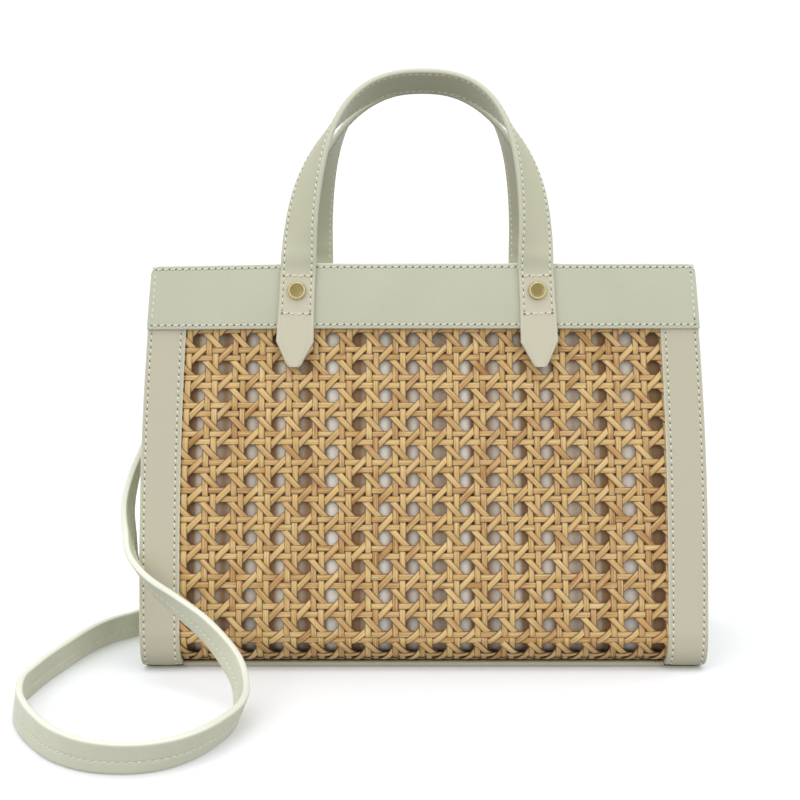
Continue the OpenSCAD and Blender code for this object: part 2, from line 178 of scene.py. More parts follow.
class ToteFinish(bpy.types.PropertyGroup):
    sage: tint("Leather", "Colour of the leather", "#C6C7B3")
    sage_deep: tint("Leather, deeper", "Colour where the dye took deeper", "#BABBA6")
    sand: tint("Warmer leather", "Colour of the trims", "#C0BBA5")
    # The tabs' lighter colour is painted light on the flat tab, which faces the lamps more than the legs
    tab: tint("Tab leather", "Colour of the handles' tabs", "#CBC6B0")
    # The strap's paler colour is painted light, standing in for light bounced up from the floor
    pale: tint("Strap leather", "Colour of the strap, cut from a paler hide", "#E0E2CB")
    paint: tint("Painted edge", "Colour of the painted edges", "#E2E3D6")
    # The base's darker colour is partly its own and partly painted shade from the cane that overhangs it
    base: tint("Base leather", "Colour of the base panel", "#B0AC99")
    base_deep: tint("Base leather, deeper", "Colour of the base where the dye took deeper", "#A6A28F")
    handle: tint("Handle leather", "Colour of the handles", "#BDBDA6")
    handle_deep: tint("Handle leather, deeper", "Colour of the handles where the dye took deeper", "#B3B39B")
    flesh: tint("Facing", "Colour of the facing leather", "#B7B69F")
    brass: tint("Brass", "Colour of the studs", "#988856")
    tarnish: tint("Tarnish", "Colour of the studs where they have dulled", "#7D7050")
    # The rims' brighter colour is partly rubbed wear and partly a painted highlight
    rubbed_and_highlit: tint("Rubbed brass", "Colour of the studs' rims, kept bright by use", "#CBC08F")
    stripe: tint("Lining stripe", "Colour of the lining's dark stripe", "#7E5930")
    faded: tint("Faded stripe", "Colour of the dark stripe along a slub", "#A0805F")
    ground: tint("Lining ground", "Colour of the lining between stripes", "#EAE2D4")
    board: tint("Board", "Colour of the base board", "#86827A")
    fleck: tint("Fleck", "Colour of the flecks in the base board", "#6F6B64")
    floor: tint("Floor", "Colour of the studio floor", "#F9FBFF")
    tooth: tint("Floor tooth", "Colour in the tooth of the studio floor", "#F8FAFE")


class ToteSettings(bpy.types.PropertyGroup):
    body: PointerProperty(type=ToteBody)
    cane: PointerProperty(type=ToteCane)
    straps: PointerProperty(type=ToteStraps)
    sewing: PointerProperty(type=ToteSewing)
    finish: PointerProperty(type=ToteFinish)


# Frames and shapes


def smooth(x, low, high):
    """0 below low, 1 above high, and an even turn between."""
    t = np.clip((np.asarray(x, float) - low) / (high - low), 0, 1)
    return t * t * (3 - 2 * t)


def unit(v):
    """The same directions, each one long."""
    return v / np.maximum(np.linalg.norm(v, axis=-1, keepdims=True), 1e-12)


def lengths(line):
    """How far along a line each of its points lies."""
    return np.concatenate([[0], np.cumsum(np.linalg.norm(np.diff(line, axis=0), axis=1))])


class Wall:
    """The leaning front wall: x across, v up from the turn at the base and n out from the cane's face."""

    def __init__(self, body):
        self.bend = body.bend
        self.turn_y = body.base_depth / 2 - body.bend
        self.turn_z = body.base_thick + body.bend
        inward = self.turn_y - body.top_depth / 2
        upward = body.height - self.turn_z
        self.lean = math.atan2(inward, upward) + math.asin(body.bend / math.hypot(inward, upward))
        self.long = math.sqrt(inward**2 + upward**2 - body.bend**2)
        self.window = self.long - body.band_height
        self.foot = -body.bend * (math.pi / 2 + self.lean)
        # Above the turn the wall is flat, so these hold all the way up
        self.flat_out, self.flat_up = self.out(0), self.up(0)

    def angle(self, v):
        return self.lean - np.maximum(-np.asarray(v, float), 0) / self.bend

    def at(self, x, v, n):
        x, v, n = np.broadcast_arrays(*(np.asarray(a, float) for a in (x, v, n)))
        angle, up, reach = self.angle(v), np.maximum(v, 0), self.bend + n
        return np.stack(
            [
                x,
                -self.turn_y - reach * np.cos(angle) + up * math.sin(self.lean),
                self.turn_z + reach * np.sin(angle) + up * math.cos(self.lean),
            ],
            -1,
        )

    def out(self, v):
        angle = self.angle(v)
        return np.stack([0 * angle, -np.cos(angle), np.sin(angle)], -1)

    def up(self, v):
        angle = self.angle(v)
        return np.stack([0 * angle, np.sin(angle), np.cos(angle)], -1)


def settle(points, body):
    """Moves points of the bag as its own weight and use have: sides bow, panels swell, one corner droops."""
    p = np.array(points, float)
    x, y, z = p[:, 0].copy(), p[:, 1].copy(), p[:, 2]
    half = body.width / 2
    high = np.clip(z / body.height, 0, 1)
    # What stands above the top edge, such as a handle, stays where it is
    moved = z <= body.height + 0.004
    side = smooth(np.abs(x), 0.6 * half, half) * moved
    p[:, 0] += np.sign(x) * side * body.bow * (np.sin(math.pi * high) - 0.8 * high**3)
    middle = np.cos(np.clip(np.abs(x) / half, 0, 1) * math.pi / 2)
    depth = np.clip(np.abs(y) / 0.03, 0, 1)
    p[:, 1] += np.sign(y) * depth * body.swell * middle * np.sin(math.pi * high)
    p[:, 2] -= body.droop * smooth(-x, 0.35 * half, half) * high**5 * moved
    return p


def sagged(body, deep, z, share):
    """How far a side sags inward at a height, where share is 0 along its middle and 1 at its edges."""
    # The strap's stud holds the side, so it sags only below that
    below = np.clip(z / body.height / 0.8, 0, 1)
    return deep * np.sin(math.pi * below) ** 1.4 * np.cos(share * math.pi / 2) ** 1.2


def backed(points):
    """The same points on the back of the bag."""
    return np.asarray(points) * (1, -1, 1)


SIDES = (("front", np.array), ("back", backed))


def tube(rows, around):
    """Numbers of points that lie in rings, and the faces that join each ring to the next."""
    rings = np.arange(rows * around).reshape(rows, around)
    ahead = np.roll(rings, -1, 1)
    return rings, np.stack([rings[:-1], ahead[:-1], ahead[1:], rings[1:]], -1).reshape(-1, 4)


def closed(rows, around):
    """The faces of rings joined up and closed at both ends."""
    rings, faces = tube(rows, around)
    return faces.tolist() + [rings[0][::-1].tolist(), rings[-1].tolist()]


def sweep(path, across, out, section):
    """Points and faces of a closed section, or one section for each place, carried along a path."""
    path, across, out = (np.asarray(a, float) for a in (path, across, out))
    across, out = np.broadcast_to(across, path.shape), np.broadcast_to(out, path.shape)
    section = np.broadcast_to(section, (len(path),) + np.shape(section)[-2:])
    points = path[:, None] + across[:, None] * section[..., :1] + out[:, None] * section[..., 1:]
    return points.reshape(-1, 3), closed(*points.shape[:2])


def joined(parts):
    """Several lists of points and faces as one."""
    points, faces, start = [], [], 0
    for p, f in parts:
        points.append(p)
        faces += [[start + i for i in face] for face in f]
        start += len(p)
    return np.concatenate(points), faces


def strip_section(width, thick, rows=(), pull=0.0, crown=0.0, both=False):
    """Section of a leather strip about its middle: faces pressed in along the stitch rows and rounded edges.

    Gives the points, anticlockwise, and how much each one lies on a cut edge.
    """
    radius = 0.42 * thick
    half = width / 2 - radius
    count = max(7, int(width / 0.0016))
    groove, reach = 0.00042, 0.0008
    face = [np.linspace(-half, half, count)] + [r + np.linspace(-1, 1, 7) * reach for r in rows]
    face = np.concatenate(face)
    face = np.unique(np.round(face[np.abs(face) <= half], 6))
    relief = crown * (1 - (face / half) ** 2)
    for r in rows:
        relief = relief - pull * np.exp(-(((face - r) / groove) ** 2))
    turn = np.radians(np.linspace(90, 270, 9))[1:-1]
    flat = (thick / 2 - radius) * np.sign(np.sin(turn)).round()
    edge = np.stack([-half + radius * np.cos(turn), flat + radius * np.sin(turn)], 1)
    edge[3, 1] = 0
    top = np.stack([face, thick / 2 + relief], 1)[::-1]
    bottom = np.stack([face, -thick / 2 - (relief if both else 0 * relief)], 1)
    points = np.concatenate([top, edge, bottom, -edge])
    marks = np.concatenate([0 * face, np.abs(np.cos(turn)), 0 * face, np.abs(np.cos(turn))])
    return points, marks


def lathe(profile, count=40, wobble=0.0):
    """Points and faces of a turned shape from (radius, height) pairs, its axis along Z."""
    angle = np.linspace(0, 2 * math.pi, count, endpoint=False)
    points = [
        [r * (1 - wobble * np.cos(9 * a)) * np.cos(a), r * (1 - wobble * np.cos(9 * a)) * np.sin(a), z]
        for r, z in profile
        for a in angle
    ]
    return np.array(points), closed(len(profile), count)


def piece(name, points, faces, slot, material, nodes=(), uv=None, **marks):
    """One mesh of the bag, riding on the frame, with its finish and any marks that the finish reads."""
    mesh = bpy.data.meshes.new(name)
    mesh.from_pydata(np.asarray(points).tolist(), [], faces)
    shell = bmesh.new()
    shell.from_mesh(mesh)
    bmesh.ops.recalc_face_normals(shell, faces=shell.faces)
    shell.to_mesh(mesh)
    shell.free()
    # Turns sharper than this stay crisp, as at a cut edge
    crisp = math.radians(52)
    mesh.shade_smooth()
    mesh.set_sharp_from_angle(angle=crisp)
    if uv is not None:
        corners = np.empty(len(mesh.loops), np.int32)
        mesh.loops.foreach_get("vertex_index", corners)
        layer = mesh.uv_layers.new(name="UVMap")
        layer.data.foreach_set("uv", np.asarray(uv)[corners].astype(np.float32).ravel())
    for mark, values in marks.items():
        mesh.attributes.new(mark, "FLOAT", "POINT").data.foreach_set("value", np.asarray(values, np.float32))
    mesh.materials.append(material)
    made = bpy.data.objects.new(name, mesh)
    bpy.context.scene.collection.objects.link(made)
    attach(made, "root")
    if nodes:
        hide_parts(*nodes)
    return made


# Sewing


def stitches(line, outward, pitch):
    """Where the stitches of one row fall: their middles, directions and outward sides, and the needle holes."""
    line, outward = np.asarray(line, float), np.broadcast_to(np.asarray(outward, float), np.shape(line))
    along = lengths(line)
    stops = np.linspace(0, along[-1], max(2, int(round(along[-1] / pitch)) + 1))
    knots = np.stack([np.interp(stops, along, line[:, i]) for i in range(3)], 1)
    normal = unit(np.stack([np.interp(stops, along, outward[:, i]) for i in range(3)], 1))
    middle = (knots[1:] + knots[:-1]) / 2
    run = knots[1:] - knots[:-1]
    lift = unit(normal[1:] + normal[:-1])
    lift = unit(lift - (lift * unit(run)).sum(1, keepdims=True) * unit(run))
    return middle, run, lift, knots, normal


def sew(name, rows, slot, sewing, material, body=None):
    """One mesh of thread and painted shade in the needle holes for rows, each a line on the leather and its
    outward side.
    """
    parts = [stitches(line, outward, sewing.pitch) for line, outward in rows]
    middle, run, lift = (np.concatenate([p[i] for p in parts]) for i in range(3))
    knots, normal = (np.concatenate([p[i] for p in parts]) for i in (3, 4))
    if body is not None:
        middle, knots = settle(middle, body), settle(knots, body)
    long = np.linalg.norm(run, axis=1, keepdims=True)
    ahead = run / long
    beside = np.cross(lift, ahead)
    # The thread leaves one hole on one side and enters the next on the other, so each stitch lies at a slant
    slant = 0.16
    slanted = unit(ahead + slant * beside)
    beside = np.cross(lift, slanted)
    r = sewing.thread / 2
    angle = np.linspace(0, 2 * math.pi, 6, endpoint=False)
    # Places along one stitch in shares of its length, each with its height and thickness in radii of the thread
    shape = ((-0.39, -0.9, 0.6), (-0.3, 0.0, 0.95), (0.0, 0.35, 1.05), (0.3, 0.0, 0.95), (0.39, -0.9, 0.6))
    points = []
    for t, high, thick in shape:
        for a in angle:
            sideways, outward = r * thick * math.cos(a), r * (high + thick * math.sin(a))
            points.append(middle + slanted * (t * long) + beside * sideways + lift * outward)
    points = np.stack(points, 1)
    rings, pattern = tube(len(shape), len(angle))
    count, each = len(middle), rings.size
    faces = (pattern[None] + each * np.arange(count)[:, None, None]).reshape(-1, 4).tolist()
    for end in (rings[0][::-1], rings[-1]):
        faces += (end[None] + each * np.arange(count)[:, None]).tolist()
    # A needle hole is a flat dark oval just above the leather: painted shade in the hole
    corners, half_long, half_wide, above = 8, 0.0006, 0.00044, 0.00004
    runs = np.concatenate([np.vstack([p[1], p[1][-1:]]) for p in parts])
    tangent = unit(np.cross(normal, np.cross(runs, normal)))
    bitangent = np.cross(normal, tangent)
    hole = [
        knots + tangent * (half_long * math.cos(a)) + bitangent * (half_wide * math.sin(a)) + normal * above
        for a in np.linspace(0, 2 * math.pi, corners, endpoint=False)
    ]
    start = count * each
    faces += (np.arange(corners)[None] + start + corners * np.arange(len(knots))[:, None]).tolist()
    points = np.concatenate([points.reshape(-1, 3), np.stack(hole, 1).reshape(-1, 3)])
    marks = np.concatenate([np.zeros(start), np.ones(corners * len(knots))])
    return piece(name, points, faces, slot, material, hole=marks)


# Finishes


def add(tree, kind, inputs=None, **settings):
    """Adds one node, with its settings, its fixed inputs and its links."""
    made = tree.nodes.new(kind)
    for key, value in settings.items():
        setattr(made, key, value)
    for key, value in (inputs or {}).items():
        if isinstance(value, bpy.types.NodeSocket):
            tree.links.new(value, made.inputs[key])
        else:
            made.inputs[key].default_value = value
    return made


def mix(tree, share, first, second):
    """Mixes two colours, each a socket or linear red, green and blue."""
    first, second = (c if isinstance(c, bpy.types.NodeSocket) else (*c, 1.0) for c in (first, second))
    return add(tree, "ShaderNodeMix", {0: share, 6: first, 7: second}, data_type="RGBA").outputs[2]


def noise(tree, place, step, detail):
    """Soft noise whose patches are one step across, in metres, or in units of the place that it reads."""
    inputs = {"Vector": place, "Scale": 1 / step, "Detail": detail}
    return add(tree, "ShaderNodeTexNoise", inputs).outputs["Fac"]


def ranged(tree, value, start=0.0, stop=1.0, least=0.0, most=1.0):
    """Carries a value between start and stop over to between least and most, and no further."""
    limits = {"From Min": start, "From Max": stop, "To Min": least, "To Max": most}
    return add(tree, "ShaderNodeMapRange", {"Value": value, **limits}).outputs["Result"]


def bumped(tree, height, strength, distance):
    """Relief from a height, as a normal."""
    inputs = {"Height": height, "Strength": strength, "Distance": distance}
    return add(tree, "ShaderNodeBump", inputs).outputs["Normal"]


def mark(tree, name):
    """A mark that a piece's points carry."""
    return add(tree, "ShaderNodeAttribute", attribute_name=name).outputs["Fac"]


def stretched(tree, place, scale):
    """The place with its two directions scaled apart."""
    return add(tree, "ShaderNodeMapping", {"Vector": place, "Scale": (*scale, 1.0)}).outputs["Vector"]


def finish(name):
    """A new material with its node tree and shader, or the one already made under that name."""
    made = bpy.data.materials.get(name)
    if made is not None:
        return made, None, None
    made = bpy.data.materials.new(name)
    made.use_nodes = True
    return made, made.node_tree, made.node_tree.nodes["Principled BSDF"]


def grained_leather(name, colour, deep, warm, paint, rough):
    """Drum-dyed cowhide, lightly embossed: fine pebble, soft low gloss, cut edges sealed with paler paint."""
    made, tree, shader = finish(name)
    if tree is None:
        return made
    place = add(tree, "ShaderNodeTexCoord").outputs["Object"]
    # Dye takes unevenly over patches of some 35 mm
    shade = mix(tree, noise(tree, place, 0.035, 3.0), deep, colour)
    # Pebbles are about 0.6 mm on the hide, drawn at 1.1 mm so that they show, and pores lie 2.2 mm apart
    pebble = add(tree, "ShaderNodeTexVoronoi", {"Vector": place, "Scale": 1 / 0.0011}, feature="F1")
    pore = noise(tree, place, 0.0022, 4.0)
    toned = mix(tree, ranged(tree, pore, 0.3, 0.7, 0.0, 0.22), shade, deep)
    # Trims take a warmer tone; the handles' tabs are painted lighter than their legs, painted light on the flat
    # tab
    cut = mix(tree, mark(tree, "warm"), toned, warm)
    painted = mix(tree, mark(tree, "edge"), cut, paint)
    relief = add(tree, "ShaderNodeMath", {0: pebble.outputs["Distance"], 1: pore}, operation="ADD")
    tree.links.new(painted, shader.inputs["Base Color"])
    tree.links.new(ranged(tree, pore, least=rough - 0.06, most=rough + 0.08), shader.inputs["Roughness"])
    tree.links.new(bumped(tree, relief.outputs[0], 0.09, 0.0003), shader.inputs["Normal"])
    shader.inputs["IOR"].default_value = 1.5
    shader.inputs["Specular IOR Level"].default_value = 0.35
    return made


def split_cane(cane):
    """Rattan skin split into strands: satin, finely fibred, each its own tone, shade painted down its sides."""
    made, tree, shader = finish("Rattan cane, split and woven")
    if tree is None:
        return made
    run = add(tree, "ShaderNodeUVMap", uv_map="UVMap").outputs["UV"]
    # Fibres are 0.1 mm wide, drawn at 0.45 mm so that they show, and some 20 mm long
    fibre = noise(tree, stretched(tree, run, (1 / 0.02, 1 / 0.00045)), 1.0, 4.0)
    # Weathering comes and goes along a strand over some 18 mm
    weather = noise(tree, stretched(tree, run, (1 / 0.018, 1 / 0.02)), 1.0, 2.0)
    worn = ranged(tree, weather, 0.3, 0.7, most=1.3)
    toned = add(tree, "ShaderNodeMath", {0: mark(tree, "tone"), 1: worn}, operation="MULTIPLY")
    body = mix(tree, toned.outputs[0], cane.honey, cane.tan)
    lined = mix(tree, ranged(tree, fibre, 0.46, 0.3, most=0.4), body, cane.tan)
    pale = mix(tree, ranged(tree, fibre, 0.46, 0.72, most=0.65), lined, cane.straw)
    # Shade is painted down the strands' sides, where they shadow each other in the gaps
    shaded = mix(tree, ranged(tree, mark(tree, "side"), 0.62), pale, cane.gap)
    tree.links.new(shaded, shader.inputs["Base Color"])
    tree.links.new(ranged(tree, fibre, least=0.42, most=0.6), shader.inputs["Roughness"])
    tree.links.new(bumped(tree, fibre, 0.5, 0.0002), shader.inputs["Normal"])
    shader.inputs["IOR"].default_value = 1.52
    shader.inputs["Specular IOR Level"].default_value = 0.4
    return made


def waxed_thread(sewing):
    """Twisted polyester thread, waxed: pale, a little glossy, with painted shade in the needle holes between
    stitches.
    """
    made, tree, shader = finish("Polyester thread, twisted and waxed")
    if tree is None:
        return made
    place = add(tree, "ShaderNodeTexCoord").outputs["Object"]
    # The plies lie 0.4 mm apart, drawn at 0.8 mm so that they show
    ply = noise(tree, place, 0.0008, 2.0)
    soft = mix(tree, ply, sewing.thread_tint, sewing.ply_tint)
    # The needle holes take the dark hole colour: painted shade
    tree.links.new(mix(tree, mark(tree, "hole"), soft, sewing.hole_tint), shader.inputs["Base Color"])
    tree.links.new(bumped(tree, ply, 0.3, 0.0002), shader.inputs["Normal"])
    shader.inputs["Roughness"].default_value = 0.5
    return made


def aged_brass(finishes):
    """Cast brass, turned and waxed: olive, softly mirrored, dull in patches, its rim brighter: rubbed wear and
    painted highlight.
    """
    made, tree, shader = finish("Brass, turned and aged")
    if tree is None:
        return made
    place = add(tree, "ShaderNodeTexCoord").outputs["Object"]
    # Tarnish gathers in spots of about 2.5 mm
    film = noise(tree, place, 0.0025, 4.0)
    colour = mix(tree, film, finishes.brass, finishes.tarnish)
    # Turning marks are under 0.1 mm apart, drawn at 0.5 mm
    turned = noise(tree, place, 0.0005, 2.0)
    # The rim mark brightens the rims: partly rubbed wear, partly a painted highlight
    tree.links.new(mix(tree, mark(tree, "rim"), colour, finishes.rubbed_and_highlit), shader.inputs["Base Color"])
    tree.links.new(ranged(tree, film, least=0.28, most=0.5), shader.inputs["Roughness"])
    tree.links.new(bumped(tree, turned, 0.08, 0.0002), shader.inputs["Normal"])
    shader.inputs["Metallic"].default_value = 1.0
    return made


def striped_cotton(finishes):
    """Cotton ticking, woven in upright stripes: matt, soft at the stripe edges, with a slub in the yarn."""
    made, tree, shader = finish("Cotton ticking, yarn-dyed stripe")
    if tree is None:
        return made
    run = add(tree, "ShaderNodeUVMap", uv_map="UVMap").outputs["UV"]
    place = add(tree, "ShaderNodeTexCoord").outputs["Object"]
    level = add(tree, "ShaderNodeSeparateXYZ", {"Vector": run}).outputs["X"]
    # Four sets of stripes over each other: step from light to light, place of one light stripe, strength
    total = 0.0
    for step, light, strength in (
        (0.0281, -0.0996, 0.9), (0.02, -0.1022, 1.0), (0.0123, -0.1036, 0.95), (0.0079, -0.1064, 0.75),
    ):
        turn = 2 * math.pi / step
        phase = add(tree, "ShaderNodeMath", {0: level, 1: turn, 2: -light * turn}, operation="MULTIPLY_ADD")
        wave = add(tree, "ShaderNodeMath", {0: phase.outputs[0]}, operation="COSINE").outputs[0]
        summed = add(tree, "ShaderNodeMath", {0: wave, 1: strength, 2: total}, operation="MULTIPLY_ADD")
        total = summed.outputs[0]
    # Slubs are 4 mm wide and some 30 mm high
    slub = noise(tree, stretched(tree, run, (1 / 0.004, 1 / 0.03)), 1.0, 3.0)
    dyed = mix(tree, slub, finishes.stripe, finishes.faded)
    cloth = mix(tree, ranged(tree, total, -1.3, 2.3), dyed, finishes.ground)
    # Yarns are 0.25 mm apart, drawn at 0.8 mm
    yarn = add(tree, "ShaderNodeTexVoronoi", {"Vector": place, "Scale": 1 / 0.0008})
    tree.links.new(cloth, shader.inputs["Base Color"])
    tree.links.new(bumped(tree, yarn.outputs["Distance"], 0.35, 0.0003), shader.inputs["Normal"])
    shader.inputs["Roughness"].default_value = 0.9
    shader.inputs["Sheen Weight"].default_value = 0.15
    return made


def pressed_board(finishes):
    """Pressed fibre board: matt grey, flecked with longer fibres."""
    made, tree, shader = finish("Fibre board, pressed")
    if tree is None:
        return made
    place = add(tree, "ShaderNodeTexCoord").outputs["Object"]
    # Fibre flecks are 1.5 mm
    fleck = noise(tree, place, 0.0015, 5.0)
    tree.links.new(mix(tree, fleck, finishes.fleck, finishes.board), shader.inputs["Base Color"])
    tree.links.new(bumped(tree, fleck, 0.4, 0.0003), shader.inputs["Normal"])
    shader.inputs["Roughness"].default_value = 0.85
    return made


def paper_floor(finishes):
    """Seamless studio paper: matt white with a barely seen tooth."""
    made, tree, shader = finish("Studio paper, uncoated")
    if tree is None:
        return made
    place = add(tree, "ShaderNodeTexCoord").outputs["Object"]
    # The tooth is 0.3 mm, drawn at 4 mm
    tooth = noise(tree, place, 0.004, 3.0)
    tree.links.new(mix(tree, tooth, finishes.floor, finishes.tooth), shader.inputs["Base Color"])
    shader.inputs["Roughness"].default_value = 0.9
    shader.inputs["Specular IOR Level"].default_value = 0.1
    return made


def leather_of(settings, kind="body"):
    """The leather of one kind of piece, by what was done to the hide, its colours and how rough it is."""
    f = settings.finish
    how, colour, deep, warm, rough = {
        "facing": ("split and buffed", f.flesh, f.sage_deep, f.sand, 0.7),
        # The strap's paler colour is painted light, standing in for light bounced up from the floor
        "strap": ("drum-dyed and pressed", f.pale, f.sage, f.sand, 0.5),
        # The base's darker colour is partly its own and partly painted shade from the cane above it
        "base": ("drum-dyed and rolled", f.base, f.base_deep, f.sand, 0.55),
        # For the handles the warm colour is the tab's, painted lighter: painted light on the flat tab
        "handle": ("drum-dyed and plated", f.handle, f.handle_deep, f.tab, 0.5),
        "body": ("drum-dyed and embossed", f.sage, f.sage_deep, f.sand, 0.5),
    }[kind]
    return grained_leather(f"Cowhide, {how}", colour, deep, warm, f.paint, rough)


# Pieces


class TOTE_OT_camera(bpy.types.Operator):
    """Set the camera where the photograph was taken from"""

    bl_idname = "tote.camera"
    bl_label = "Camera"

    def execute(self, context):
        lens = bpy.data.cameras.new("Camera")
        lens.sensor_width = 36.0
        # In pixels of the photograph: its side, the focal length and the height of the horizon
        side, focal, horizon = 800, 1366, 262
        lens.lens = focal / side * lens.sensor_width
        # The eye is level with the bag's top edge and the frame reaches down to the floor
        lens.shift_y = -(side / 2 - horizon) / side
        lens.clip_start = 0.01
        eye = bpy.data.objects.new("Camera", lens)
        eye.location = (-0.0112, -0.695, 0.192)
        eye.rotation_euler = (math.pi / 2, 0, 0)
        context.scene.collection.objects.link(eye)
        context.scene.camera = eye
        return {"FINISHED"}


def route_frames(route, steps):
    """A smooth line through the strap's points, with the directions across to its upper edge and out."""
    p = np.array(route, float)
    ends = np.concatenate([p[:1], p, p[-1:]])
    line = []
    for a, b, c, d in zip(ends[:-3], ends[1:-2], ends[2:-1], ends[3:]):
        square, cube = 2 * a - 5 * b + 4 * c - d, 3 * b - a - 3 * c + d
        for t in np.arange(steps) / steps:
            line.append(0.5 * (2 * b + (c - a) * t + square * t**2 + cube * t**3))
    line = np.array(line + [p[-1]])
    middle = line[:, :3] / 1000
    run = unit(np.gradient(middle, axis=0))
    faces, leans = np.radians(line[:, 3]), np.radians(line[:, 4])
    edge = np.stack([0 * faces, -np.cos(faces), np.sin(faces)], 1)
    edge = unit(edge - (edge * run).sum(1, keepdims=True) * run)
    across = edge * np.cos(leans)[:, None] - np.cross(run, edge) * np.sin(leans)[:, None]
    return middle, across, np.cross(run, across)


class TOTE_OT_shoulder_strap(bpy.types.Operator):
    """Sew the two layers of the shoulder strap along its route"""

    bl_idname = "tote.shoulder_strap"
    bl_label = "Shoulder strap"

    def execute(self, context):
        settings = context.scene.tote
        straps, sewing = settings.straps, settings.sewing
        w, t = straps.strap_width, straps.strap_thick
        middle, across, out = route_frames(STRAP_ROUTE, 8)
        # Section: two layers sewn together, with flat painted edges whose corners are eased
        row = w / 2 - 0.61 * w
        ease = 0.0005
        face = np.concatenate([
            np.linspace(w / 2 - ease, row + 0.001, 8), row + np.linspace(0.8, -0.8, 7) * 0.001,
            np.linspace(row - 0.001, -w / 2 + ease, 5),
        ])
        top = t / 2 - 1.5 * sewing.dip * np.exp(-(((face - row) / 0.0005) ** 2))
        cut = np.array([(0.3 * ease, 0.3 * ease), (0, ease), (-0.0001, t / 4), (-0.00015, t / 2)])
        cut = np.concatenate([cut, (cut * (1, -1) + (0, t))[-2::-1]]) * (1, -1) + (-w / 2, t / 2)
        section = np.concatenate([np.stack([face, top], 1), cut, np.stack([face, -top], 1)[::-1], -cut])
        paint = np.array([0.2] + [1.0] * (len(cut) - 2) + [0.2])
        marks = np.concatenate([0 * face, paint, 0 * face, paint])
        # The ends are rounded in plan
        along = lengths(middle)
        near = np.minimum(along, along[-1] - along)
        ends = np.sqrt(np.clip(1 - (1 - np.clip(near / 0.005, 0, 1)) ** 2, 0.12, 1))
        sections = section[None] * np.stack([ends, np.ones_like(ends)], 1)[:, None]
        points, faces = sweep(middle, across, out, sections)
        strap = piece(
            "shoulder_strap_leather", points, faces, "strap_leather", leather_of(settings, "strap"),
            ["shoulder_strap"], edge=np.tile(marks, len(middle)),
        )
        # The rows stop short of the studs, and their thread lies a little deeper than elsewhere
        bare = 0.03
        held = slice(int(np.argmax(along > bare)), int(np.argmax(along > along[-1] - bare)))
        high = t / 2 - 1.5 * sewing.dip - 0.00005
        rows = [(middle + across * row + side * out * high, side * out) for side in (1, -1)]
        thread = sew(
            "shoulder_strap_stitches", [(line[held], normal[held]) for line, normal in rows], "strap_leather",
            sewing, waxed_thread(sewing),
        )
        return {"FINISHED"}


def strand(points, across, out, width, thick):
    """One cane strand, flat below and crowned above.

    Gives its points, faces, run along it and across, and nearness to its sides, where shade is painted.
    """
    shape = np.array([
        (-0.5, -0.3), (-0.49, 0.2), (-0.38, 0.42), (0.0, 0.47), (0.38, 0.42), (0.49, 0.2), (0.5, -0.3),
    ])
    body, faces = sweep(points, across, out, shape * (width, thick))
    along = lengths(points)
    uv = np.stack(np.broadcast_arrays(along[:, None], shape[None, :, 0] * width), -1).reshape(-1, 2)
    return body, faces, uv, np.tile(np.abs(shape[:, 0]) * 2, len(points))


